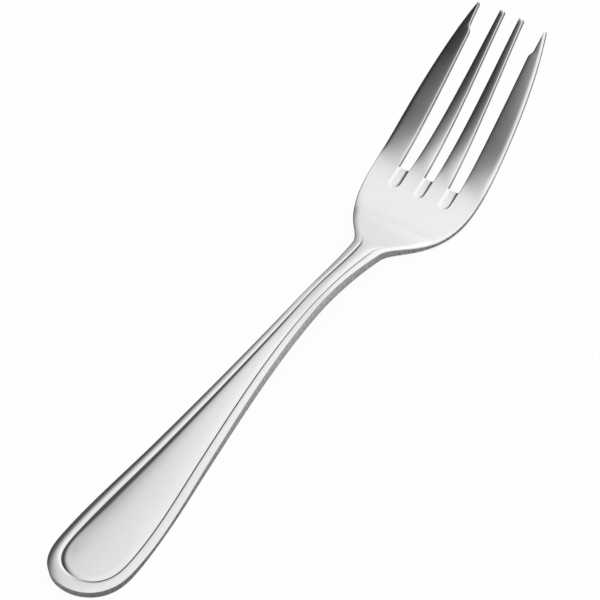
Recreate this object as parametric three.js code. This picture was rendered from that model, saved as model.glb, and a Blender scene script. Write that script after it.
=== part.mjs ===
// Salad fork, one piece of stainless steel: a handle with a raised border, a narrow neck, a shallow bowl and
// four tines. Millimetres: X runs across the fork, Y from the handle end to the tips, Z up from the table.
import * as THREE from 'three';

// Lengths along the fork
const handleLength = 99.3; // handle end to the narrowest place of the neck
const bowlLength = 41.5; // narrowest place of the neck to the roots of the slots
const tineLength = 38.3; // roots of the slots to the tips of the inner tines
const outerTipSetback = 0.5; // the outer tips stop this far short of the inner tips

// Outline, as full widths and the distances between them
const handleWidth = 21.8;
const handleRoundLength = 13.3; // the round end, up to the widest place of the handle
const handleRoundPower = 2.76; // 2 makes the round end an ellipse, more makes it squarer
const taperMidWidth = 14.85; // handle width part-way down its taper
const taperMidToNeck = 54;
const taperMidSlope = -0.131; // change of half width along the fork
const neckWidth = 5.4;
const neckToShoulderFoot = 16.5;
const shoulderFootWidth = 7.75; // where the neck starts to flare into the bowl
const shoulderFootSlope = 0.15;
const shoulderFootToShoulder = 6.5;
const shoulderWidth = 17.2; // in the middle of the flare
const shoulderSlope = 0.9;
const headWidth = 30.1; // widest place, at the roots of the slots
const outerTipSpan = 20.2; // across the two outer tips
const outerTineRoundness = 0.11; // share of the outer curve that is drawn in close to the tip
const outerTinePower = 1.9; // the rest is drawn in along the whole tine
const outerTipPower = 6;

// Slots and tines
const centreSlotRootWidth = 2.8;
const centreSlotTipWidth = 4.3;
const innerTineRootWidth = 4.3;
const innerTineTipWidth = 1.25;
const innerTineHollow = 0.155; // halfway, a tine is this much narrower than a straight taper
const sideSlotRootWidth = 3.2;
const outerTineLean = 0.3; // inner edge of an outer tine, from the root to its notch
const notchLength = 6.2; // stepped cut from the inner side of an outer tip
const notchRun = 1.6;
const notchStep = 0.75;
const outerTipWidth = 0.4;
const innerTineCamber = 0.08; // the front of a tine is a little round
const outerTineCamber = 0.05;
const channelLength = 5.2; // coined channel that runs from a slot into the bowl
const channelDepth = 0.25;
const channelWall = 0.7;

// Thickness at the outer edges
const endThickness = 2.03;
const handleThickness = 1.4; // thinnest place, past the round end
const handleThinAt = 26; // from the handle end
const handleThicken = 0.026; // growth of the thickness from there to the neck
const neckThickness = 2.8;
const shoulderFootThickness = 2.3;
const rimThickness = 2.1; // sides of the bowl
const tineRootThickness = 1.2;
const tipThickness = 0.95;
const handleBackCrown = 0.4; // the back is rounder and thicker along the middle, up to the slots
const bowlBackCrown = 0.6;

// Rounded edges: close to square on the handle, ground round on the bowl and the tines
const handleEdgeRound = 0.15;
const bowlFrontRound = 0.3;
const bowlBackRound = 0.6;
const tineFrontRound = 0.2;
const tineBackRound = 0.5;
const tineRoundShare = 0.3; // and at most this share of a tine's width

// Side profile, with heights of the front face above the table
const restFlat = 0.12; // depth of the flats that the back rests on
const restLength = 2.4; // least length of the flat below the bowl
const endHeight = 2.08;
const handleLowHeight = 1.93;
const handleLowAt = 10; // from the handle end
const archHeight = 7.35; // top of the arch behind the neck
const archToNeck = 5;
const shoulderFootHeight = 4.55;
const shoulderFootFall = -0.165;
const bowlBottomToRoots = 12.7;
const rootHeight = 4.7;
const rootRise = 0.34;
const tipHeight = 25;
const tipRise = 0.57;
const bowlSideDrop = 0.2; // the sides of the bowl lie this far below its middle
const outerTineLift = 0.6; // and the outer tines rise by this much towards the tips
const neckCrown = 0.5; // the front of the neck is domed across
const neckCrownToShoulder = 12; // most of all here

// Raised border: a bead that leans up from the edge, a groove inside it and the rolled edge of the crowned panel.
// It is full on the broad handle and slim on the neck, with places and depths as shares of the border's width.
const handleBorder = 2.95;
const neckBorder = 1.5;
const shoulderBorder = 2.4;
const borderTaperPower = 0.5; // the border narrows slower than the handle
const borderEdgeShare = -0.07; // its outer edge lies a little low
const crownShareFull = 0.7; // from the edge to the crown of the bead
const crownShareSlim = 0.58;
const outerTiltFull = THREE.MathUtils.degToRad(28); // slope of the bead at the edge
const outerTiltSlim = THREE.MathUtils.degToRad(5);
const innerTiltFull = THREE.MathUtils.degToRad(52); // slope of the bead at the groove
const innerTiltSlim = THREE.MathUtils.degToRad(26);
const grooveShare = 0.985; // from the edge to the groove
const creaseShare = 0.13; // narrow rise inside the groove
const creaseDepthFull = 0.04;
const creaseDepthSlim = 0.02;
const rollShareFull = 0.7; // rolled edge of the panel
const rollShareSlim = 0.5;
const rollDepthFull = 0.085;
const rollDepthSlim = 0.06;
const rollPower = 3;
const panelEdgeSlope = 0.085; // the panel is slightly crowned across
const neckFullness = 0.2; // part of the full relief that is left on the neck
const beadFadeLength = 9; // the bead fades out over this length, up to the shoulder

// Facets
const roundSpokes = 10;
const taperRows = 14;
const neckRows = 6;
const flareRows = 5;
const bowlRows = 3;
const restRows = 2;
const channelRows = 4;
const tineRows = 8;
const notchRows = 4;
const tipRows = 3;
const rollSteps = [1, 0.5, 0.2]; // grid lines over the rolled edge of the panel
const creaseSteps = [1, 0.4]; // over the crease
const beadSteps = [1, 0.94, 0.86, 0.76, 0.64, 0.5, 0.36, 0.22, 0.09, 0]; // and over the bead
const rollRoom = 0.8; // share of a narrow panel that its rolled edge may take
const edgeSteps = [0, 0.35, 1]; // places on a rounded edge, in radii from the edge
const tineSteps = 2; // grid lines between the rounded edges of a tine
const slotGridLead = 4; // the grid starts to follow the slots this far before the flare
const slopeStep = 0.01;

// Places along the fork
const neckAt = handleLength;
const shoulderFootAt = neckAt + neckToShoulderFoot;
const shoulderAt = shoulderFootAt + shoulderFootToShoulder;
const rootsAt = neckAt + bowlLength;
const tipsAt = rootsAt + tineLength;
const outerTipsAt = tipsAt - outerTipSetback;
const notchAt = outerTipsAt - notchLength;
const taperMidAt = neckAt - taperMidToNeck;
const archAt = neckAt - archToNeck;
const bowlBottomAt = rootsAt - bowlBottomToRoots;
const restStartAt = bowlBottomAt - restLength / 2;
const restEndAt = bowlBottomAt + restLength / 2;
const neckCrownAt = shoulderAt - neckCrownToShoulder;
const channelAt = rootsAt - channelLength;

const clamp01 = (value) => Math.min(1, Math.max(0, value));
const mix = (low, high, share) => low + (high - low) * share;

function ease(from, to, value) {
  const share = clamp01((value - from) / (to - from));
  return share * share * (3 - 2 * share);
}

// Smooth curve through stations of [place, value, slope]
function curveThrough(stations, place) {
  let index = 0;
  while (index < stations.length - 2 && place > stations[index + 1][0]) {
    index += 1;
  }
  const [startAt, start, startSlope] = stations[index];
  const [endAt, end, endSlope] = stations[index + 1];
  const span = endAt - startAt;
  const t = (place - startAt) / span;
  const rise = t * t * (3 - 2 * t);
  const bend = startSlope * t * (1 - t) ** 2 - endSlope * t * t * (1 - t);
  return mix(start, end, rise) + span * bend;
}

const outlineStations = [
  [handleRoundLength, handleWidth / 2, 0],
  [taperMidAt, taperMidWidth / 2, taperMidSlope],
  [neckAt, neckWidth / 2, 0],
  [shoulderFootAt, shoulderFootWidth / 2, shoulderFootSlope],
  [shoulderAt, shoulderWidth / 2, shoulderSlope],
  [rootsAt, headWidth / 2, 0],
];

const faceStations = [
  [0, endHeight, (2 * (handleLowHeight - endHeight)) / handleLowAt],
  [handleLowAt, handleLowHeight, 0],
  [archAt, archHeight, 0],
  [shoulderFootAt, shoulderFootHeight, shoulderFootFall],
  [bowlBottomAt, rimThickness + bowlBackCrown - restFlat, 0],
  [rootsAt, rootHeight, rootRise],
  [tipsAt, tipHeight, tipRise],
];

const tineThinning = (tipThickness - tineRootThickness) / tineLength;
const thicknessStations = [
  [0, endThickness, 0],
  [handleThinAt, handleThickness, handleThicken],
  [neckAt, neckThickness, 0],
  [shoulderFootAt, shoulderFootThickness, 0],
  [bowlBottomAt, rimThickness, 0],
  [rootsAt, tineRootThickness, tineThinning],
  [tipsAt, tipThickness, tineThinning],
];

// Half width of the outline past the round end
function halfWidth(y) {
  if (y <= rootsAt) {
    return curveThrough(outlineStations, Math.max(y, handleRoundLength));
  }
  const share = Math.min(1, (y - rootsAt) / (outerTipsAt - rootsAt));
  const drawnIn = (1 - outerTineRoundness) * share ** outerTinePower + outerTineRoundness * share ** outerTipPower;
  return mix(headWidth / 2, outerTipSpan / 2, drawnIn);
}

const faceHeight = (y) => curveThrough(faceStations, y);

function uprightThickness(y) {
  const slope = (faceHeight(y + slopeStep) - faceHeight(y - slopeStep)) / (2 * slopeStep);
  return curveThrough(thicknessStations, y) * Math.hypot(1, slope);
}

function borderWidth(y) {
  if (y > neckAt) {
    return mix(neckBorder, shoulderBorder, ease(neckAt, shoulderAt, y));
  }
  const share = (halfWidth(y) - neckWidth / 2) / (handleWidth / 2 - neckWidth / 2);
  return mix(neckBorder, handleBorder, clamp01(share) ** borderTaperPower);
}

// Inner edges of the tines, as distances from the middle of the fork
function tineEdges(y) {
  const share = clamp01((y - rootsAt) / tineLength);
  const centre = mix(centreSlotRootWidth, centreSlotTipWidth, share) / 2;
  const hollow = 4 * innerTineHollow * share * (1 - share);
  const inner = centre + mix(innerTineRootWidth, innerTineTipWidth, share) - hollow;
  const rootEdge = (centreSlotRootWidth / 2) + innerTineRootWidth + sideSlotRootWidth;
  const lean = outerTineLean * clamp01((y - rootsAt) / (notchAt - rootsAt));
  const stepped = rootEdge - lean + notchStep * ease(notchAt, notchAt + notchRun, y);
  const tipEdge = outerTipSpan / 2 - outerTipWidth;
  const past = clamp01((y - notchAt - notchRun) / (outerTipsAt - notchAt - notchRun));
  return { centre, inner, outer: mix(stepped, tipEdge, past) };
}

// Drop of a rounded edge at a distance from it
function roundedEdge(distance, radius) {
  const inside = Math.max(0, radius - Math.max(0, distance));
  return radius - Math.sqrt(radius * radius - inside * inside);
}

// Radius of the rounded edges, where past the roots of the slots the tine is this wide
function edgeRadius(y, tineWidth, bowlRound, tineRound) {
  const upToBowl = mix(handleEdgeRound, bowlRound, ease(shoulderFootAt, bowlBottomAt, y));
  const radius = mix(upToBowl, tineRound, ease(bowlBottomAt, rootsAt, y));
  return y < rootsAt ? radius : Math.min(radius, tineRoundShare * tineWidth);
}

// Part of the full relief, from how far the border has narrowed
function fullness(border) {
  return clamp01(Math.max(neckFullness, (border - neckBorder) / (handleBorder - neckBorder)));
}

const rollWidth = (border, full) => mix(rollShareSlim, rollShareFull, full) * border;

// Height of the bead, the groove and the rolled edge of the panel, at a distance in from the outline
function borderRelief(distance, border, full) {
  const crownAt = mix(crownShareSlim, crownShareFull, full ** 2) * border;
  const grooveAt = grooveShare * border;
  const outerTilt = mix(outerTiltSlim, outerTiltFull, full);
  const innerTilt = mix(innerTiltSlim, innerTiltFull, full);
  const outerRadius = crownAt / Math.sin(outerTilt);
  const innerRadius = (grooveAt - crownAt) / Math.sin(innerTilt);
  const crown = borderEdgeShare * border + outerRadius * (1 - Math.cos(outerTilt));
  if (distance < grooveAt) {
    const radius = distance < crownAt ? outerRadius : innerRadius;
    return crown - radius + Math.sqrt(radius ** 2 - (distance - crownAt) ** 2);
  }
  const groove = crown - innerRadius * (1 - Math.cos(innerTilt));
  const toPanel = 1 - clamp01((distance - grooveAt) / rollWidth(border, full));
  const toRoll = 1 - clamp01((distance - grooveAt) / (creaseShare * border));
  const roll = mix(rollDepthSlim, rollDepthFull, full) * (1 - toPanel ** rollPower);
  const crease = mix(creaseDepthSlim, creaseDepthFull, full) * (1 - toRoll ** 2);
  return groove + border * (roll + crease);
}

// Distance to a slot that starts at the roots and lies between two edges
function slotDistance(x, y, low, high) {
  return Math.hypot(Math.max(low - x, x - high, 0), Math.max(rootsAt - y, 0));
}

// Coined channel below a slot
function channelRelief(x, y, low, high) {
  const across = ease(0, channelWall, Math.min(x - low, high - x));
  return -channelDepth * across * ease(channelAt, rootsAt, y) * (y > rootsAt ? 0 : 1);
}

// Round front of a tine
function tineCamber(x, low, high, rise) {
  const middle = (low + high) / 2;
  const share = clamp01(Math.abs(x - middle) / ((high - low) / 2));
  return rise * (1 - share * share);
}

// Front and back heights at a point that lies a distance in from the outline
function heights(x, y, inset) {
  const edges = tineEdges(y);
  const border = borderWidth(y);
  const width = halfWidth(y);
  const isInner = x < (edges.inner + edges.outer) / 2;
  const toTip = Math.max(0, (isInner ? tipsAt : outerTipsAt) - y);
  const toCentreSlot = slotDistance(x, y, -edges.centre, edges.centre);
  const toSideSlot = slotDistance(x, y, edges.inner, edges.outer);
  const toEdge = Math.min(inset, toTip, toCentreSlot, toSideSlot);
  const tineWidth = isInner ? edges.inner - edges.centre : width - edges.outer;
  const frontDrop = roundedEdge(toEdge, edgeRadius(y, tineWidth, bowlFrontRound, tineFrontRound));
  const backDrop = roundedEdge(toEdge, edgeRadius(y, tineWidth, bowlBackRound, tineBackRound));

  const domed = 1 - clamp01((width - inset) / width) ** 2;
  const panelHalf = width - grooveShare * border;
  const panelDomed = 1 - clamp01((width - inset) / panelHalf) ** 2;
  const neckShare = ease(archAt, neckCrownAt, y) * (1 - ease(neckCrownAt, shoulderAt, y));
  const relief = borderRelief(inset, border, fullness(y < neckAt ? border : neckBorder));
  const bordered = relief + ((panelEdgeSlope * panelHalf) / 2) * panelDomed + neckCrown * neckShare * domed ** 2;

  const camber = isInner
    ? tineCamber(x, edges.centre, edges.inner, innerTineCamber)
    : tineCamber(x, edges.outer, width, outerTineCamber);
  const channels =
    channelRelief(x, y, -edges.centre, edges.centre) + channelRelief(x, y, edges.inner, edges.outer);
  const plain = camber * ease(rootsAt, rootsAt + channelLength, y) + channels - frontDrop;

  const drop = bowlSideDrop * ease(shoulderFootAt, bowlBottomAt, y);
  const sideRise = outerTineLift * ease(rootsAt, notchAt, y) - drop;
  const face = faceHeight(y) + sideRise * (x / (headWidth / 2)) ** 2;
  const backCrown = mix(handleBackCrown, bowlBackCrown, ease(neckAt, bowlBottomAt, y));
  const crown = backCrown * domed * (1 - ease(bowlBottomAt, channelAt, y));
  const headShare = ease(shoulderAt - beadFadeLength, shoulderAt, y);
  return {
    front: face + mix(bordered, plain, headShare),
    back: Math.max(0, face - uprightThickness(y) - crown) + backDrop,
  };
}

// Places between two edges, neither of them included
function between(low, high, count) {
  return Array.from({ length: count }, (_, index) => mix(low, high, (index + 1) / (count + 1)));
}

// Distances from the middle to the grid lines of the head, which follow the slots and the tines
function headLines(y) {
  const scale = y < rootsAt ? halfWidth(y) / (headWidth / 2) : 1;
  const edges = tineEdges(y);
  const pastRoots = Math.max(y, rootsAt);
  const width = halfWidth(pastRoots);
  const innerRadius = edgeRadius(pastRoots, edges.inner - edges.centre, bowlBackRound, tineBackRound);
  const outerRadius = edgeRadius(pastRoots, width - edges.outer, bowlBackRound, tineBackRound);
  const lines = [
    0,
    edges.centre - channelWall,
    ...edgeSteps.map((step) => edges.centre + step * innerRadius),
    ...between(edges.centre + innerRadius, edges.inner - innerRadius, tineSteps),
    ...edgeSteps.map((step) => edges.inner - step * innerRadius).reverse(),
    edges.inner + channelWall,
    (edges.inner + edges.outer) / 2,
    edges.outer - channelWall,
    ...edgeSteps.map((step) => edges.outer + step * outerRadius),
    ...between(edges.outer + outerRadius, width - outerRadius, tineSteps),
    ...edgeSteps.map((step) => width - step * outerRadius).reverse(),
  ];
  return lines.map((line) => line * scale);
}

const centreSlotLine = 2; // grid lines that bound the slots and tines
const innerTineLine = centreSlotLine + 2 * edgeSteps.length + tineSteps - 1;
const outerTineLine = innerTineLine + 4;
const borderLines = rollSteps.length + creaseSteps.length + beadSteps.length;
const panelSteps = headLines(rootsAt).length - borderLines; // as many lines as in the head

// Distances from the middle to the grid lines of the handle, which follow the border
function handleLines(reach, border) {
  const grooveLine = reach - grooveShare * border;
  const roll = Math.min(rollWidth(border, fullness(border)), rollRoom * grooveLine);
  const crease = Math.min(creaseShare * border, roll / 2);
  return [
    ...spaced(0, grooveLine - roll, panelSteps),
    ...rollSteps.map((step) => grooveLine - mix(crease, roll, step)),
    ...creaseSteps.map((step) => grooveLine - step * crease),
    ...beadSteps.map((step) => reach - step * grooveShare * border),
  ];
}

// One row of grid points from the middle to the outline, over the round end
function roundRow(angle) {
  const outX = (handleWidth / 2) * Math.sin(angle);
  const outY = handleRoundLength * (1 - Math.cos(angle) ** (2 / handleRoundPower));
  const reach = Math.hypot(outX, handleRoundLength - outY);
  const points = handleLines(reach, handleBorder).map((line) => {
    const share = line / reach;
    return { x: share * outX, y: mix(handleRoundLength, outY, share), inset: reach - line };
  });
  return { y: 0, points };
}

// One row of grid points straight across the fork
function straightRow(y) {
  const reach = halfWidth(y);
  const headShare = ease(shoulderFootAt - slotGridLead, bowlBottomAt, y);
  const fromHandle = handleLines(reach, borderWidth(y));
  const fromHead = headLines(y);
  const points = fromHandle.map((line, index) => {
    const x = mix(line, fromHead[index], headShare);
    return { x, y, inset: reach - x };
  });
  return { y, points };
}

function spaced(from, to, count) {
  return Array.from({ length: count }, (_, index) => mix(from, to, index / count));
}

function allRows() {
  const rows = [];
  for (let spoke = 0; spoke < roundSpokes; spoke += 1) {
    rows.push(roundRow((spoke / roundSpokes) * (Math.PI / 2)));
  }
  const rootRound = tineBackRound;
  const tipRound = tineRoundShare * innerTineTipWidth;
  const places = [
    ...spaced(handleRoundLength, neckAt, taperRows),
    ...spaced(neckAt, shoulderFootAt, neckRows),
    ...spaced(shoulderFootAt, shoulderAt, flareRows),
    ...spaced(shoulderAt, restStartAt, bowlRows),
    ...spaced(restStartAt, restEndAt, restRows),
    ...spaced(restEndAt, channelAt, bowlRows),
    ...spaced(channelAt, rootsAt - rootRound, channelRows),
    ...edgeSteps.map((step) => rootsAt - step * rootRound).reverse(),
    ...edgeSteps.slice(1).map((step) => rootsAt + step * rootRound),
    ...spaced(rootsAt + rootRound, notchAt, tineRows).slice(1),
    ...spaced(notchAt, notchAt + notchRun, notchRows),
    ...spaced(notchAt + notchRun, outerTipsAt - tipRound, tipRows),
    ...edgeSteps.map((step) => outerTipsAt - step * tipRound).reverse(),
    ...edgeSteps.map((step) => tipsAt - step * tipRound).reverse(),
  ];
  for (const place of places) {
    rows.push(straightRow(place));
  }
  return rows;
}

// A cell of the grid is metal unless it lies in a slot or past a tip
function isMetal(line, rowY, nextY) {
  const y = (rowY + nextY) / 2;
  if (y < rootsAt) {
    return true;
  }
  if (line < centreSlotLine || (line >= innerTineLine && line < outerTineLine)) {
    return false;
  }
  return y < (line < innerTineLine ? tipsAt : outerTipsAt);
}

// Closed solid from the grid: the front, the back below it, and a wall round every edge
function forkGeometry() {
  const rows = allRows();
  const lastLine = rows[0].points.length - 1;
  const ids = new Map();
  const fronts = [];
  const backs = [];
  const middleY = tipsAt / 2;

  function vertex(row, line) {
    const point = row.points[Math.abs(line)];
    const x = Math.sign(line) * point.x;
    const key = `${x.toFixed(4)},${point.y.toFixed(4)}`.replace('-0.0000,', '0.0000,');
    if (!ids.has(key)) {
      const { front, back } = heights(point.x, point.y, point.inset);
      ids.set(key, fronts.length);
      fronts.push([x, point.y - middleY, front]);
      backs.push([x, point.y - middleY, back]);
    }
    return ids.get(key);
  }

  const faces = [];
  function addFace(a, b, c) {
    if (a !== b && b !== c && c !== a) {
      faces.push([a, b, c]);
    }
  }
  for (let index = 0; index + 1 < rows.length; index += 1) {
    const row = rows[index];
    const next = rows[index + 1];
    for (let line = -lastLine; line < lastLine; line += 1) {
      const nearLine = Math.min(Math.abs(line), Math.abs(line + 1));
      if (isMetal(nearLine, row.y, next.y)) {
        const corner = vertex(row, line);
        const opposite = vertex(next, line + 1);
        addFace(corner, vertex(row, line + 1), opposite);
        addFace(corner, opposite, vertex(next, line));
      }
    }
  }

  const edges = new Set();
  for (const [a, b, c] of faces) {
    edges.add(`${a},${b}`).add(`${b},${c}`).add(`${c},${a}`);
  }
  const count = fronts.length;
  const triangles = [];
  for (const [a, b, c] of faces) {
    triangles.push(a, b, c, count + a, count + c, count + b);
  }
  for (const edge of edges) {
    const [a, b] = edge.split(',').map(Number);
    if (!edges.has(`${b},${a}`)) {
      triangles.push(a, count + a, count + b, a, count + b, b);
    }
  }
  const geometry = new THREE.BufferGeometry();
  geometry.setAttribute('position', new THREE.Float32BufferAttribute([...fronts, ...backs].flat(), 3));
  geometry.setIndex(triangles);
  geometry.computeVertexNormals();
  return geometry;
}

const steel = new THREE.MeshStandardMaterial({ color: 0xc8c9ca, roughness: 0.22, metalness: 1 });
const fork = new THREE.Mesh(forkGeometry(), steel);
fork.name = 'fork';

const saladFork = new THREE.Group();
saladFork.name = 'salad_fork';
saladFork.add(fork);

export default saladFork;
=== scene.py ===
# Salad fork of stainless steel, lying face up on a white table, seen from above its right side.
import math

import bmesh
import bpy
from mathutils import Matrix, Vector


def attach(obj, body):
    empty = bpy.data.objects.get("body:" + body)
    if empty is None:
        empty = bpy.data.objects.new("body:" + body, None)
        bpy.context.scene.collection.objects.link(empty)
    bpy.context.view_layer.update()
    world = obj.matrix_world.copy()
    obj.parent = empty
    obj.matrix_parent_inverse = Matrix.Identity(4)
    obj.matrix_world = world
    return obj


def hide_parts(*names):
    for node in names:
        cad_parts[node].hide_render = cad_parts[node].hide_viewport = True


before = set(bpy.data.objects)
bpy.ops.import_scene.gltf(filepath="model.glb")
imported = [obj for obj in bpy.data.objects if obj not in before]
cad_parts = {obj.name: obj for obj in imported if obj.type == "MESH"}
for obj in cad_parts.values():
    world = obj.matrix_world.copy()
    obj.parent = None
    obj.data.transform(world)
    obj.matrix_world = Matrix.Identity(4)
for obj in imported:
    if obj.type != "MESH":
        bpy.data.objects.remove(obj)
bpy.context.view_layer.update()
scene = bpy.context.scene
scene.view_settings.view_transform = "Standard"


# Camera
# A long lens far back, so that the fork shows almost no perspective.
# It looks down from the right of the handle, and is tilted until the fork runs corner to corner.
camera_data = bpy.data.cameras.new("long_lens")
camera_data.sensor_width = 36
camera_data.lens = 755
camera_data.clip_end = 100
camera_target = Vector((-0.00288, 0.00514, 0.006))
camera_distance = 2.916
camera_turn = math.radians(47.13)
camera_height = math.radians(46.81)
camera_roll = math.radians(-13.56)
camera = bpy.data.objects.new("long_lens", camera_data)
camera.matrix_world = (
    Matrix.Translation(camera_target)
    @ Matrix.Rotation(camera_turn, 4, "Z")
    @ Matrix.Rotation(math.pi / 2 - camera_height, 4, "X")
    @ Matrix.Rotation(camera_roll, 4, "Z")
    @ Matrix.Translation((0, 0, camera_distance))
)
scene.collection.objects.link(camera)
scene.camera = camera


# Table
# A plain white sheet under the fork, wide enough to fill the picture from every side.
# It is matt, so it keeps only the soft shadow below the metal.
table_radius = 12
table_drop = 0.00005
sheet = bmesh.new()
bmesh.ops.create_circle(sheet, cap_ends=True, segments=96, radius=table_radius)
bmesh.ops.translate(sheet, verts=sheet.verts, vec=(0, 0, -table_drop))
sheet_mesh = bpy.data.meshes.new("table")
sheet.to_mesh(sheet_mesh)
sheet.free()
table = bpy.data.objects.new("table", sheet_mesh)
scene.collection.objects.link(table)

white_sheet = bpy.data.materials.new("white_sheet")
white_sheet.use_nodes = True
nodes = white_sheet.node_tree.nodes
links = white_sheet.node_tree.links
paper = nodes["Principled BSDF"]
paper.inputs["Base Color"].default_value = (0.95, 0.95, 0.95, 1)
paper.inputs["Roughness"].default_value = 0.9
paper.inputs["Specular IOR Level"].default_value = 0
glow = nodes.new("ShaderNodeEmission")
seen_by = nodes.new("ShaderNodeLightPath")
seen_direct = nodes.new("ShaderNodeMath")
seen_direct.operation = "ADD"
seen_any = nodes.new("ShaderNodeMath")
seen_any.operation = "ADD"
glow_share = nodes.new("ShaderNodeMath")
glow_share.operation = "MULTIPLY"
glow_share.inputs[1].default_value = 0.93
whitened = nodes.new("ShaderNodeMixShader")
links.new(seen_by.outputs["Is Camera Ray"], seen_direct.inputs[0])
links.new(seen_by.outputs["Is Glossy Ray"], seen_direct.inputs[1])
links.new(seen_direct.outputs["Value"], seen_any.inputs[0])
links.new(seen_by.outputs["Is Transmission Ray"], seen_any.inputs[1])
links.new(seen_any.outputs["Value"], glow_share.inputs[0])
links.new(glow_share.outputs["Value"], whitened.inputs["Fac"])
links.new(paper.outputs["BSDF"], whitened.inputs[1])
links.new(glow.outputs["Emission"], whitened.inputs[2])
links.new(whitened.outputs["Shader"], nodes["Material Output"].inputs["Surface"])
sheet_mesh.materials.append(white_sheet)


# Studio light
# A wide soft panel overhead, leaning to the right, with pale cards behind the tips and before the handle.
# The left stays dim. All of it is smooth ramps on the world, so the steel shows soft gradients.
studio = bpy.data.worlds.new("studio")
studio.use_nodes = True
nodes = studio.node_tree.nodes
links = studio.node_tree.links
nodes.clear()
toward = nodes.new("ShaderNodeTexCoord")


def facing(direction):
    """How squarely each part of the studio lies in a direction from the fork."""
    across = nodes.new("ShaderNodeVectorMath")
    across.operation = "DOT_PRODUCT"
    across.inputs[1].default_value = Vector(direction).normalized()
    links.new(toward.outputs["Generated"], across.inputs[0])
    return across.outputs["Value"]


overhead = nodes.new("ShaderNodeValToRGB")
overhead_stops = ((0.3, 0.028), (0.38, 0.041), (0.41, 0.087), (0.44, 0.16), (0.48, 0.262))
overhead_stops += ((0.512, 0.43), (0.552, 0.655), (0.585, 0.797), (0.618, 0.857), (0.651, 0.88))
overhead_stops += ((0.684, 0.915), (0.72, 0.957), (0.82, 1.03))
overhead.color_ramp.interpolation = "B_SPLINE"
overhead.color_ramp.elements[0].position = 0
overhead.color_ramp.elements[0].color = (0.02, 0.02, 0.02, 1)
overhead.color_ramp.elements.remove(overhead.color_ramp.elements[1])
for place, level in overhead_stops:
    overhead.color_ramp.elements.new(place).color = (level, level, level, 1)
links.new(facing((0.35, 0.3, 0.887)), overhead.inputs["Fac"])


def card(direction, starts, fills, level):
    """A soft pale card off to one side, brightest where it faces the fork squarely."""
    glow = nodes.new("ShaderNodeMapRange")
    glow.interpolation_type = "SMOOTHSTEP"
    glow.inputs["From Min"].default_value = starts
    glow.inputs["From Max"].default_value = fills
    glow.inputs["To Max"].default_value = level
    links.new(facing(direction), glow.inputs["Value"])
    return glow.outputs["Result"]


back_card = card((0.1, 0.96, 0.25), 0.616, 0.897, 1)
left_card = card((-0.88, 0.46, 0.1), 0.6, 1, 0.07)
front_card = card((0.2, -0.96, 0.18), 0.62, 1, 0.55)
light = overhead.outputs["Color"]
for side in (back_card, left_card, front_card):
    together = nodes.new("ShaderNodeMath")
    together.operation = "ADD"
    links.new(light, together.inputs[0])
    links.new(side, together.inputs[1])
    light = together.outputs["Value"]
evened = nodes.new("ShaderNodeMath")
evened.operation = "SMOOTH_MIN"
evened.inputs[1].default_value = 1.07
evened.inputs[2].default_value = 0.15
links.new(light, evened.inputs[0])
sky = nodes.new("ShaderNodeBackground")
sky.inputs["Strength"].default_value = 1.28
sky_end = nodes.new("ShaderNodeOutputWorld")
links.new(evened.outputs["Value"], sky.inputs["Color"])
links.new(sky.outputs["Background"], sky_end.inputs["Surface"])
scene.world = studio


# Fork
# One blank of stainless steel, cut to outline and pierced between the tines, rolled thinner to the tips.
# A die presses the raised border and the channels below the slots, then it is bent to shape and polished.
# All sizes are in millimetres, from the handle end towards the tips.

# Lengths along the fork
handle_length = 99.3
bowl_length = 41.5
tine_length = 38.29
outer_tip_setback = 0.25

# Widths of the outline
handle_width = 21.8
handle_round_length = 13.3
handle_round_power = 2.76
taper_mid_width = 14.85
taper_mid_to_neck = 54
taper_mid_slope = -0.131
neck_width = 5.55
neck_to_shoulder_foot = 16.75
shoulder_foot_width = 7.95
shoulder_foot_slope = 0.15
shoulder_foot_to_shoulder = 6.25
shoulder_width = 17.5
shoulder_slope = 0.9
head_width = 30.08
outer_tip_span = 20
outer_tine_roundness = 0.2
outer_tine_power = 1.9
outer_tip_power = 6

# Slots, tines and the channels below the slots
centre_slot_root_width = 2.8
centre_slot_tip_width = 4.3
inner_tine_root_width = 4.3
inner_tine_tip_width = 1.25
inner_tine_hollow = 0.07
side_slot_root_width = 3.2
outer_tine_lean = 0.3
notch_length = 6.2
notch_run = 1.6
notch_step = 0.75
outer_tip_width = 0.4
inner_camber_share = 0.014
outer_camber_share = 0.008
inner_tine_twist = 0.006
outer_tine_twist = 0.046
tip_twist_share = -0.5
slot_roll_share = 0.3
slot_roll_most = 0.8
slot_roll_slope = 0.03
rim_roll_width = 2.2
rim_roll_depth = 0.1
rim_fade_length = 3
tine_roll_width = 0.8
tine_roll_depth = 0.09
tip_roll_length = 0.8
tip_roll_depth = 0.12
roll_power = 2.4
channel_length = 5.2
channel_depth = 0.15
channel_wall = 0.45
channel_end_share = 0.5

# Thickness of the steel, and its crowned back and rounded edges
end_thickness = 2.03
handle_thickness = 1.4
handle_thin_at = 26
handle_thicken = 0.026
neck_thickness = 2.8
shoulder_foot_thickness = 2.3
rim_thickness = 1.9
tine_root_thickness = 1.35
tip_thickness = 1.2
handle_back_crown = 0.4
bowl_back_crown = 0.6
handle_edge_round = 0.15
bowl_front_round = 0.3
bowl_back_round = 0.78
tine_front_round = 0.07
slot_front_round = 0.08
tine_back_round = 0.5
tine_round_share = 0.3

# Side profile
rest_flat = 0.12
end_height = 2.08
handle_low_height = 1.93
handle_low_at = 10
arch_height = 7.4
arch_to_neck = 5
shoulder_foot_height = 4.71
shoulder_foot_fall = -0.165
bowl_bottom_to_roots = 12.7
root_height = 4.5
root_rise = 0.34
tip_height = 24.97
tip_rise = 0.57
bowl_side_drop = 0.05
outer_tine_lift = 0.45
outer_tip_fall = 1.25
lift_to_tips = 24
neck_crown = 0.03
neck_crown_to_shoulder = 12

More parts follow.
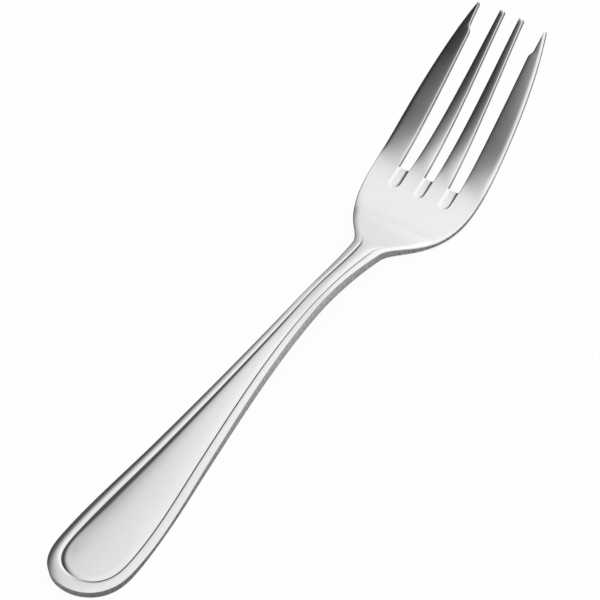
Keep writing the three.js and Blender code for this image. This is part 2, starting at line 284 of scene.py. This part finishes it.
# Raised border, its groove and the panel inside it
end_border = 3.95
handle_border = 2.98
neck_border = 1.5
shoulder_border = 2.4
border_taper_power = 0.55
border_edge_share = -0.045
crown_share = 0.7
outer_tilt_full, outer_tilt_slim = math.radians(16), math.radians(0.5)
inner_tilt_full, inner_tilt_slim = math.radians(46), math.radians(9)
bead_edge_round, neck_edge_round = 0.06, 0.17
groove_share = 0.92
roll_share_full, roll_share_slim = 0.75, 0.32
roll_depth_full, roll_depth_slim, roll_depth_shoulder = 0.15, 0.018, 0.064
roll_end_share = 0.55
panel_roll_power = 2.5
panel_edge_slope = 0.1
panel_end_slope = 0.065
panel_neck_slope = 0.05
panel_flattens_over = 15
neck_fullness = 0.02
bead_fade_length = 9
bead_fade_to_shoulder = 2.2

# Places along the fork that follow from those sizes
neck_at = handle_length
shoulder_foot_at = neck_at + neck_to_shoulder_foot
shoulder_at = shoulder_foot_at + shoulder_foot_to_shoulder
roots_at = neck_at + bowl_length
tips_at = roots_at + tine_length
outer_tips_at = tips_at - outer_tip_setback
notch_at = outer_tips_at - notch_length
taper_mid_at = neck_at - taper_mid_to_neck
arch_at = neck_at - arch_to_neck
bowl_bottom_at = roots_at - bowl_bottom_to_roots
neck_crown_at = shoulder_at - neck_crown_to_shoulder
channel_at = roots_at - channel_length
lift_at = tips_at - lift_to_tips


def clamp(value):
    return min(1.0, max(0.0, value))


def mix(low, high, share):
    return low + (high - low) * share


def ease(start, end, value):
    """Share from 0 at the start to 1 at the end, level at both."""
    share = clamp((value - start) / (end - start))
    return share * share * (3 - 2 * share)


def curve_through(stations, place):
    """Smooth curve through stations of place, value and slope."""
    index = 0
    while index < len(stations) - 2 and place > stations[index + 1][0]:
        index += 1
    start_at, start, start_slope = stations[index]
    end_at, end, end_slope = stations[index + 1]
    span = end_at - start_at
    t = (place - start_at) / span
    bend = start_slope * t * (1 - t) ** 2 - end_slope * t * t * (1 - t)
    return mix(start, end, t * t * (3 - 2 * t)) + span * bend


outline_stations = (
    (handle_round_length, handle_width / 2, 0),
    (taper_mid_at, taper_mid_width / 2, taper_mid_slope),
    (neck_at, neck_width / 2, 0),
    (shoulder_foot_at, shoulder_foot_width / 2, shoulder_foot_slope),
    (shoulder_at, shoulder_width / 2, shoulder_slope),
    (roots_at, head_width / 2, 0),
)
face_stations = (
    (0, end_height, 2 * (handle_low_height - end_height) / handle_low_at),
    (handle_low_at, handle_low_height, 0),
    (arch_at, arch_height, 0),
    (shoulder_foot_at, shoulder_foot_height, shoulder_foot_fall),
    (bowl_bottom_at, rim_thickness + bowl_back_crown - rest_flat, 0),
    (roots_at, root_height, root_rise),
    (tips_at, tip_height, tip_rise),
)
tine_thinning = (tip_thickness - tine_root_thickness) / tine_length
thickness_stations = (
    (0, end_thickness, 0),
    (handle_thin_at, handle_thickness, handle_thicken),
    (neck_at, neck_thickness, 0),
    (shoulder_foot_at, shoulder_foot_thickness, 0),
    (bowl_bottom_at, rim_thickness, 0),
    (roots_at, tine_root_thickness, tine_thinning),
    (tips_at, tip_thickness, tine_thinning),
)


def half_width(y):
    if y <= roots_at:
        return curve_through(outline_stations, max(y, handle_round_length))
    share = min(1, (y - roots_at) / (outer_tips_at - roots_at))
    drawn_in = mix(share**outer_tine_power, share**outer_tip_power, outer_tine_roundness)
    return mix(head_width / 2, outer_tip_span / 2, drawn_in)


def face_height(y):
    return curve_through(face_stations, y)


def upright_thickness(y):
    """Thickness measured straight down, which is more where the blank slopes."""
    step = 0.01
    slope = (face_height(y + step) - face_height(y - step)) / (2 * step)
    return curve_through(thickness_stations, y) * math.hypot(1, slope)


def border_width(y):
    if y > neck_at:
        return mix(neck_border, shoulder_border, ease(neck_at, shoulder_at, y))
    share = (half_width(y) - neck_width / 2) / (handle_width / 2 - neck_width / 2)
    return mix(neck_border, handle_border, clamp(share) ** border_taper_power)


def tine_edges(y):
    """Sides of the slots, as distances from the middle of the fork."""
    share = clamp((y - roots_at) / tine_length)
    centre = mix(centre_slot_root_width, centre_slot_tip_width, share) / 2
    hollow = 4 * inner_tine_hollow * share * (1 - share)
    inner = centre + mix(inner_tine_root_width, inner_tine_tip_width, share) - hollow
    root_edge = centre_slot_root_width / 2 + inner_tine_root_width + side_slot_root_width
    lean = outer_tine_lean * clamp((y - roots_at) / (notch_at - roots_at))
    stepped = root_edge - lean + notch_step * ease(notch_at, notch_at + notch_run, y)
    past = clamp((y - notch_at - notch_run) / (outer_tips_at - notch_at - notch_run))
    return centre, inner, mix(stepped, outer_tip_span / 2 - outer_tip_width, past)


def rounded_edge(distance, radius):
    """Drop of a rounded edge at a distance in from it."""
    inside = max(0, radius - max(0, distance))
    return radius - math.sqrt(max(0, radius * radius - inside * inside))


def edge_radius(y, tine_width, bowl_round, tine_round):
    """Radius of the rounded edge, from the handle over the bowl to a slim tine."""
    radius = mix(handle_edge_round, bowl_round, ease(shoulder_foot_at, bowl_bottom_at, y))
    radius = mix(radius, tine_round, ease(bowl_bottom_at, roots_at, y))
    return radius if y < roots_at else min(radius, tine_round_share * tine_width)


def border_fullness(border):
    """Share of the full relief: all of it on the broad handle, little on the slim neck."""
    return clamp(max(neck_fullness, (border - neck_border) / (handle_border - neck_border)))


def panel_roll_width(border, fullness):
    return mix(roll_share_slim, roll_share_full, fullness) * border


def border_relief(distance, border, fullness, past_neck, end_share):
    """Height of the bead, the groove and the rolled edge of the panel, at a distance in from the outline."""
    crown_at = crown_share * border
    groove_at = groove_share * border
    outer_tilt = mix(outer_tilt_slim, outer_tilt_full, math.sqrt(fullness))
    inner_tilt = mix(inner_tilt_slim, inner_tilt_full, fullness)
    outer_radius = crown_at / math.sin(outer_tilt)
    inner_radius = (groove_at - crown_at) / math.sin(inner_tilt)
    crown = border_edge_share * border + outer_radius * (1 - math.cos(outer_tilt))
    if distance < groove_at:
        radius = outer_radius if distance < crown_at else inner_radius
        return crown - radius + math.sqrt(radius**2 - (distance - crown_at) ** 2)
    groove = crown - inner_radius * (1 - math.cos(inner_tilt))
    to_panel = 1 - clamp((distance - groove_at) / (end_share * panel_roll_width(border, fullness)))
    roll_depth = mix(roll_depth_slim, roll_depth_full, fullness)
    roll_depth = end_share * mix(roll_depth, roll_depth_shoulder, past_neck)
    return groove + border * roll_depth * (1 - to_panel**panel_roll_power)


def slot_distance(x, y, low, high):
    """Distance from a point to the slot between two lines."""
    return math.hypot(max(low - x, x - high, 0), max(roots_at - y, 0))


def channel_relief(x, y, low, high):
    """Depth of the channel pressed below a slot, with a round end towards the bowl."""
    if y > roots_at:
        return 0
    half = (high - low) / 2
    into_round_end = max(0, channel_at + half - y)
    from_middle = math.hypot(x - (low + high) / 2, into_round_end)
    deepening = mix(channel_end_share, 1, ease(channel_at, roots_at, y))
    return -channel_depth * deepening * ease(0, channel_wall, half - from_middle)


def handle_relief(y, inset):
    """Height of the border and the crowned panel over the bent blank, at a distance in from the outline."""
    width = half_width(y)
    border = border_width(y)
    panel_half = width - groove_share * border
    panel_share = clamp((width - inset) / panel_half)
    off_end = ease(handle_low_at, handle_thin_at, y)
    panel_slope = mix(panel_end_slope, panel_edge_slope, off_end)
    panel_slope = mix(panel_slope, panel_neck_slope, ease(neck_at - panel_flattens_over, neck_at, y))
    panel_crown = panel_slope * panel_half / 2 * (1 - panel_share**2)
    fullness = border_fullness(border if y < neck_at else neck_border)
    past_neck = ease(neck_at, shoulder_foot_at, y)
    relief = border_relief(inset, border, fullness, past_neck, mix(roll_end_share, 1, off_end))
    edge_drop = rounded_edge(inset, mix(bead_edge_round, neck_edge_round, past_neck))
    across = clamp((width - inset) / width)
    neck_share = ease(arch_at, neck_crown_at, y) * (1 - ease(neck_crown_at, shoulder_at, y))
    return relief + panel_crown - edge_drop + neck_crown * neck_share * (1 - across**4)


def tine_camber(x, y, low, high, camber_share, twist):
    """Height of a tine's slightly rounded and twisted face between its two sides."""
    from_middle = x - (low + high) / 2
    share = clamp(abs(from_middle) / ((high - low) / 2))
    twist_share = ease(roots_at, lift_at, y) * mix(1, tip_twist_share, ease(lift_at, tips_at, y))
    return camber_share * (high - low) * (1 - share * share) - twist * twist_share * from_middle


def head_relief(x, y, inset, to_slots):
    """Height of the tines' camber, the rolled edges and the channels over the bent blank."""
    centre, inner, outer = tine_edges(y)
    width = half_width(y)
    if x < (inner + outer) / 2:
        tine_width = inner - centre
        camber = tine_camber(x, y, centre, inner, inner_camber_share, inner_tine_twist)
    else:
        tine_width = width - outer
        camber = tine_camber(x, y, outer, width, outer_camber_share, outer_tine_twist)
    slot_roll_width = min(slot_roll_most, slot_roll_share * tine_width)
    camber -= slot_roll_slope * slot_roll_width * (1 - clamp(to_slots / slot_roll_width)) ** roll_power
    on_tines = ease(roots_at, roots_at + channel_length, y)
    rim_roll = rim_roll_depth * (1 - clamp(inset / rim_roll_width)) ** roll_power
    rim_roll *= 1 - ease(bowl_bottom_at - rim_fade_length, channel_at, y)
    rim_roll += tine_roll_depth * (1 - clamp(inset / tine_roll_width)) ** 2 * on_tines
    channels = channel_relief(x, y, -centre, centre) + channel_relief(x, y, inner, outer)
    return camber * on_tines + channels - rim_roll


def fork_heights(x, y, inset):
    """Front and back of the steel at a point that lies a distance in from the outline."""
    centre, inner, outer = tine_edges(y)
    width = half_width(y)
    is_inner = x < (inner + outer) / 2
    to_tip = max(0, (tips_at if is_inner else outer_tips_at) - y)
    to_slots = min(slot_distance(x, y, -centre, centre), slot_distance(x, y, inner, outer))
    tine_width = inner - centre if is_inner else width - outer

    side_rise = outer_tine_lift * ease(roots_at, lift_at, y) - outer_tip_fall * ease(lift_at, tips_at, y)
    side_rise -= bowl_side_drop * ease(shoulder_foot_at, bowl_bottom_at, y)
    face = face_height(y) + side_rise * (x / (head_width / 2)) ** 2

    front_drop = rounded_edge(inset, edge_radius(y, tine_width, bowl_front_round, tine_front_round))
    front_drop = max(front_drop, rounded_edge(min(to_tip, to_slots), slot_front_round))
    front_drop += tip_roll_depth * (1 - clamp(to_tip / tip_roll_length)) ** 2
    fade_end = shoulder_at - bead_fade_to_shoulder
    into_bowl = ease(fade_end - bead_fade_length, fade_end, y)
    front = face + mix(handle_relief(y, inset), head_relief(x, y, inset, to_slots) - front_drop, into_bowl)

    across = clamp((width - inset) / width)
    crown = mix(handle_back_crown, bowl_back_crown, ease(neck_at, bowl_bottom_at, y))
    crown *= (1 - across**2) * (1 - ease(bowl_bottom_at, channel_at, y))
    back_radius = edge_radius(y, tine_width, bowl_back_round, tine_back_round)
    back_drop = rounded_edge(min(inset, to_tip, to_slots), back_radius)
    back = max(0, face - upright_thickness(y) - crown) + back_drop
    return front, back


# Lines along the fork, close together over the bead, the rounded edges and the channel walls.
edge_steps = (0, 0.06, 0.2, 0.45, 0.75, 1)
wall_steps = (0.33, 0.67, 1)
roll_steps = (1, 0.82, 0.66, 0.52, 0.4, 0.3, 0.22)
bead_steps = (0.995, 0.97, 0.945, 0.92, 0.91, 0.895, 0.875, 0.85, 0.82, 0.77, 0.72)
bead_steps += (0.66, 0.58, 0.5, 0.42, 0.34, 0.26, 0.19, 0.13, 0.08, 0.045, 0.02, 0.009, 0.003, 0)
roll_reach_share = 0.8
inner_tine_lines, side_slot_lines, outer_tine_lines = 7, 3, 9


def between(low, high, count):
    return [mix(low, high, step / (count + 1)) for step in range(1, count + 1)]


def head_lines(y):
    """Places across the head, from the middle to the outline, that follow the slots and the tines."""
    scale = half_width(y) / (head_width / 2) if y < roots_at else 1
    centre, inner, outer = tine_edges(y)
    past_roots = max(y, roots_at)
    width = half_width(past_roots)
    inner_round = edge_radius(past_roots, inner - centre, bowl_back_round, tine_back_round)
    outer_round = edge_radius(past_roots, width - outer, bowl_back_round, tine_back_round)
    lines = [0, (centre - channel_wall) / 2]
    lines += [centre - step * channel_wall for step in reversed(wall_steps)]
    lines += [centre + step * inner_round for step in edge_steps]
    lines += between(centre + inner_round, inner - inner_round, inner_tine_lines)
    lines += [inner - step * inner_round for step in reversed(edge_steps)]
    lines += [inner + step * channel_wall for step in wall_steps]
    lines += between(inner + channel_wall, outer - channel_wall, side_slot_lines)
    lines += [outer - step * channel_wall for step in reversed(wall_steps)]
    lines += [outer + step * outer_round for step in edge_steps]
    lines += between(outer + outer_round, width - outer_round, outer_tine_lines)
    lines += [width - step * outer_round for step in reversed(edge_steps)]
    return [line * scale for line in lines]


line_count = len(head_lines(roots_at))
panel_steps = line_count - len(roll_steps) - len(bead_steps)
centre_slot_line = 2 + len(wall_steps)
inner_tine_line = centre_slot_line + 2 * len(edge_steps) + inner_tine_lines - 1
outer_tine_line = inner_tine_line + 2 * len(wall_steps) + side_slot_lines + 1


def handle_lines(reach, border):
    """Places across the handle, from the middle to the outline, that follow the panel and the bead."""
    groove_line = reach - groove_share * border
    roll_width = panel_roll_width(border, border_fullness(border))
    roll_width = min(roll_width, roll_reach_share * groove_line)
    lines = [(groove_line - roll_width) * step / panel_steps for step in range(panel_steps)]
    lines += [groove_line - step * roll_width for step in roll_steps]
    return lines + [reach - step * border for step in bead_steps]


# Rows across the fork: spokes over the round end, where the border broadens, then straight rows to the tips.
# Each point keeps its place, and how far in from the outline the die's shape is taken there.
spokes = 28
handle_rows, neck_rows, shoulder_rows, bowl_rows, channel_rows = 109, 27, 17, 23, 15
tine_rows, notch_rows, tip_rows = 43, 9, 7
lines_spread_from = shoulder_foot_at - 4
root_round = tine_back_round
tip_round = tine_round_share * inner_tine_tip_width
row_places = [handle_round_length] + between(handle_round_length, neck_at, handle_rows)
row_places += [neck_at] + between(neck_at, shoulder_foot_at, neck_rows)
row_places += [shoulder_foot_at] + between(shoulder_foot_at, shoulder_at, shoulder_rows)
row_places += [shoulder_at] + between(shoulder_at, channel_at, bowl_rows)
row_places += [channel_at] + between(channel_at, roots_at - root_round, channel_rows)
row_places += [roots_at - step * root_round for step in reversed(edge_steps)]
row_places += [roots_at + step * root_round for step in edge_steps[1:]]
row_places += between(roots_at + root_round, notch_at, tine_rows)
row_places += [notch_at] + between(notch_at, notch_at + notch_run, notch_rows)
row_places += [notch_at + notch_run]
row_places += between(notch_at + notch_run, outer_tips_at - tip_round, tip_rows)
row_places += [outer_tips_at - step * tip_round for step in reversed(edge_steps)]
row_places += [tips_at - step * tip_round for step in reversed(edge_steps)]

rows = []
for spoke in range(spokes):
    angle = spoke / spokes * math.pi / 2
    out_x = handle_width / 2 * math.sin(angle)
    out_y = handle_round_length * (1 - math.cos(angle) ** (2 / handle_round_power))
    reach = math.hypot(out_x, handle_round_length - out_y)
    broad_border = mix(end_border, handle_border, (spoke / spokes) ** 2)
    row = []
    for line, usual_line in zip(handle_lines(reach, broad_border), handle_lines(reach, handle_border)):
        share = line / reach
        row.append((out_x * share, mix(handle_round_length, out_y, share), reach - usual_line))
    rows.append(row)
for place in row_places:
    reach = half_width(place)
    head_share = ease(lines_spread_from, bowl_bottom_at, place)
    row = []
    for near, far in zip(handle_lines(reach, border_width(place)), head_lines(place)):
        x = mix(near, far, head_share)
        row.append((x, place, reach - x))
    rows.append(row)

# The grid is laid on those lines and rows, and the slots and the space past the outer tips are cut out.
weld_distance = 0.0005
blank = bmesh.new()
half_lines = line_count - 1
bmesh.ops.create_grid(blank, x_segments=2 * half_lines, y_segments=len(rows) - 1, size=0.5)
front_layer = blank.verts.layers.float.new("front")
back_layer = blank.verts.layers.float.new("back")
cut_out = []
for face in blank.faces:
    middle = face.calc_center_median()
    line = int(abs(middle.x) * 2 * half_lines)
    row_index = int((middle.y + 0.5) * (len(rows) - 1)) - spokes
    if row_index >= 0 and row_places[row_index] >= roots_at:
        in_slot = line < centre_slot_line or inner_tine_line <= line < outer_tine_line
        past_tip = line >= outer_tine_line and row_places[row_index] >= outer_tips_at
        if in_slot or past_tip:
            cut_out.append(face)
bmesh.ops.delete(blank, geom=cut_out, context="FACES")
for vert in blank.verts:
    line = round(vert.co.x * 2 * half_lines)
    x, y, inset = rows[round((vert.co.y + 0.5) * (len(rows) - 1))][abs(line)]
    vert[front_layer], vert[back_layer] = fork_heights(x, y, inset)
    vert.co = (math.copysign(x, line), y - tips_at / 2, 0)
bmesh.ops.remove_doubles(blank, verts=blank.verts, dist=weld_distance)

# The back is drawn down from the front, which closes the sides, and the whole is brought to metres.
to_metres = 0.001
crease_angle = math.radians(50)
drawn = bmesh.ops.extrude_face_region(blank, geom=blank.faces[:])
front_verts = {element for element in drawn["geom"] if isinstance(element, bmesh.types.BMVert)}
for vert in blank.verts:
    vert.co.z = vert[front_layer] if vert in front_verts else vert[back_layer]
bmesh.ops.recalc_face_normals(blank, faces=blank.faces)
bmesh.ops.scale(blank, vec=(to_metres, to_metres, to_metres), verts=blank.verts)
for face in blank.faces:
    face.smooth = True
    levels = {vert in front_verts for vert in face.verts}
    face.material_index = 1 if len(levels) == 2 else 0
for edge in blank.edges:
    if edge.calc_face_angle(0) > crease_angle:
        edge.smooth = False
fork_mesh = bpy.data.meshes.new("fork_steel")
blank.to_mesh(fork_mesh)
blank.free()
fork = bpy.data.objects.new("fork_steel", fork_mesh)
scene.collection.objects.link(fork)

# The faces are polished along the fork: fine hairlines, a sheen that is a little uneven from place to place,
# and a tone that is painted lighter along the fork, most on the bowl and tines: painted light for how
# brightly the light falls there.
polished_steel = bpy.data.materials.new("polished_steel")
polished_steel.use_nodes = True
nodes = polished_steel.node_tree.nodes
links = polished_steel.node_tree.links
shader = nodes["Principled BSDF"]
shader.inputs["Metallic"].default_value = 1
place_on_fork = nodes.new("ShaderNodeTexCoord")
along_fork = nodes.new("ShaderNodeMapping")
along_fork.inputs["Scale"].default_value = (5200, 160, 5200)
links.new(place_on_fork.outputs["Object"], along_fork.inputs["Vector"])
hairlines = nodes.new("ShaderNodeTexNoise")
hairlines.inputs["Scale"].default_value = 1
hairlines.inputs["Detail"].default_value = 3
links.new(along_fork.outputs["Vector"], hairlines.inputs["Vector"])
sheen = nodes.new("ShaderNodeTexNoise")
sheen.inputs["Scale"].default_value = 160
sheen.inputs["Detail"].default_value = 4
links.new(place_on_fork.outputs["Object"], sheen.inputs["Vector"])
steel_tone = nodes.new("ShaderNodeValToRGB")
steel_tone.color_ramp.elements[0].position = 0.3
steel_tone.color_ramp.elements[0].color = (0.625, 0.626, 0.628, 1)
steel_tone.color_ramp.elements[1].position = 0.7
steel_tone.color_ramp.elements[1].color = (0.655, 0.655, 0.654, 1)
links.new(hairlines.outputs["Fac"], steel_tone.inputs["Fac"])
along = nodes.new("ShaderNodeSeparateXYZ")
links.new(place_on_fork.outputs["Object"], along.inputs["Vector"])
from_end = nodes.new("ShaderNodeMapRange")
from_end.inputs["From Min"].default_value = -0.0895
from_end.inputs["From Max"].default_value = 0.0895
links.new(along.outputs["Y"], from_end.inputs["Value"])
# Painted light: the base tone is lifted by different amounts along the fork, most on the bowl and tines,
# some mid-handle, least at the handle end and the neck.
painted_light_along_fork = nodes.new("ShaderNodeValToRGB")
painted_light_along_fork.color_ramp.elements[0].position = 0.18
painted_light_along_fork.color_ramp.elements[0].color = (0, 0, 0, 1)
painted_light_along_fork.color_ramp.elements[1].position = 0.72
painted_light_along_fork.color_ramp.elements[1].color = (0.115, 0.115, 0.115, 1)
for place, level in ((0.44, 0.056), (0.56, 0.015), (0.63, 0.022), (0.67, 0.08)):
    painted_light_along_fork.color_ramp.elements.new(place).color = (level, level, level, 1)
links.new(from_end.outputs["Result"], painted_light_along_fork.inputs["Fac"])
tone_with_painted_light = nodes.new("ShaderNodeVectorMath")
tone_with_painted_light.operation = "ADD"
links.new(steel_tone.outputs["Color"], tone_with_painted_light.inputs[0])
links.new(painted_light_along_fork.outputs["Color"], tone_with_painted_light.inputs[1])
links.new(tone_with_painted_light.outputs["Vector"], shader.inputs["Base Color"])
dullness = nodes.new("ShaderNodeMapRange")
dullness.inputs["From Min"].default_value = 0.3
dullness.inputs["From Max"].default_value = 0.7
dullness.inputs["To Min"].default_value = 0.09
dullness.inputs["To Max"].default_value = 0.13
links.new(sheen.outputs["Fac"], dullness.inputs["Value"])
links.new(dullness.outputs["Result"], shader.inputs["Roughness"])
scratched = nodes.new("ShaderNodeBump")
scratched.inputs["Strength"].default_value = 0.06
scratched.inputs["Distance"].default_value = 0.00001
links.new(hairlines.outputs["Fac"], scratched.inputs["Height"])
links.new(scratched.outputs["Normal"], shader.inputs["Normal"])
fork_mesh.materials.append(polished_steel)

# The cut sides are only tumbled, so they stay grey and grainy, with short upright streaks from the blanking
# die.
# Their tone is painted darkest close to the table, as painted shade of the shadowed table they reflect, and
# lightest on the raised neck, as painted light.
matt_edge = bpy.data.materials.new("matt_edge")
matt_edge.use_nodes = True
nodes = matt_edge.node_tree.nodes
links = matt_edge.node_tree.links
shader = nodes["Principled BSDF"]
shader.inputs["Metallic"].default_value = 1
place_on_fork = nodes.new("ShaderNodeTexCoord")
upright = nodes.new("ShaderNodeMapping")
upright.inputs["Scale"].default_value = (2500, 2500, 700)
links.new(place_on_fork.outputs["Object"], upright.inputs["Vector"])
streaks = nodes.new("ShaderNodeTexNoise")
streaks.inputs["Scale"].default_value = 1
streaks.inputs["Detail"].default_value = 4
streaks.inputs["Roughness"].default_value = 0.6
links.new(upright.outputs["Vector"], streaks.inputs["Vector"])
upward = nodes.new("ShaderNodeSeparateXYZ")
links.new(place_on_fork.outputs["Object"], upward.inputs["Vector"])
off_table = nodes.new("ShaderNodeMapRange")
off_table.inputs["From Max"].default_value = 0.025
links.new(upward.outputs["Z"], off_table.inputs["Value"])
# Painted shade and light: the sides are darkest within about a millimetre of the table, lightest about 7 mm
# up on the raised neck, and a middle grey above 10 mm.
painted_shade_by_height = nodes.new("ShaderNodeValToRGB")
painted_shade_by_height.color_ramp.elements[0].position = 0.04
painted_shade_by_height.color_ramp.elements[0].color = (0.05, 0.05, 0.05, 1)
painted_shade_by_height.color_ramp.elements[1].color = (0.16, 0.16, 0.16, 1)
for place, level in ((0.28, 0.41), (0.4, 0.2)):
    painted_shade_by_height.color_ramp.elements.new(place).color = (level, level, level, 1)
links.new(off_table.outputs["Result"], painted_shade_by_height.inputs["Fac"])
streaks_and_painted_shade = nodes.new("ShaderNodeMath")
streaks_and_painted_shade.operation = "MULTIPLY_ADD"
streaks_and_painted_shade.inputs[1].default_value = 0.5
links.new(streaks.outputs["Fac"], streaks_and_painted_shade.inputs[0])
links.new(painted_shade_by_height.outputs["Color"], streaks_and_painted_shade.inputs[2])
edge_tone = nodes.new("ShaderNodeValToRGB")
edge_tone.color_ramp.elements[0].position = 0.2
edge_tone.color_ramp.elements[0].color = (0.1, 0.1, 0.101, 1)
edge_tone.color_ramp.elements[1].position = 0.8
edge_tone.color_ramp.elements[1].color = (0.53, 0.53, 0.532, 1)
links.new(streaks_and_painted_shade.outputs["Value"], edge_tone.inputs["Fac"])
links.new(edge_tone.outputs["Color"], shader.inputs["Base Color"])
grain = nodes.new("ShaderNodeMapRange")
grain.inputs["From Min"].default_value = 0.3
grain.inputs["From Max"].default_value = 0.7
grain.inputs["To Min"].default_value = 0.62
grain.inputs["To Max"].default_value = 0.48
links.new(streaks.outputs["Fac"], grain.inputs["Value"])
links.new(grain.outputs["Result"], shader.inputs["Roughness"])
pitted = nodes.new("ShaderNodeBump")
pitted.inputs["Strength"].default_value = 0.15
pitted.inputs["Distance"].default_value = 0.00005
links.new(streaks.outputs["Fac"], pitted.inputs["Height"])
links.new(pitted.outputs["Normal"], shader.inputs["Normal"])
fork_mesh.materials.append(matt_edge)

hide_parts("fork")
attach(fork, "root")
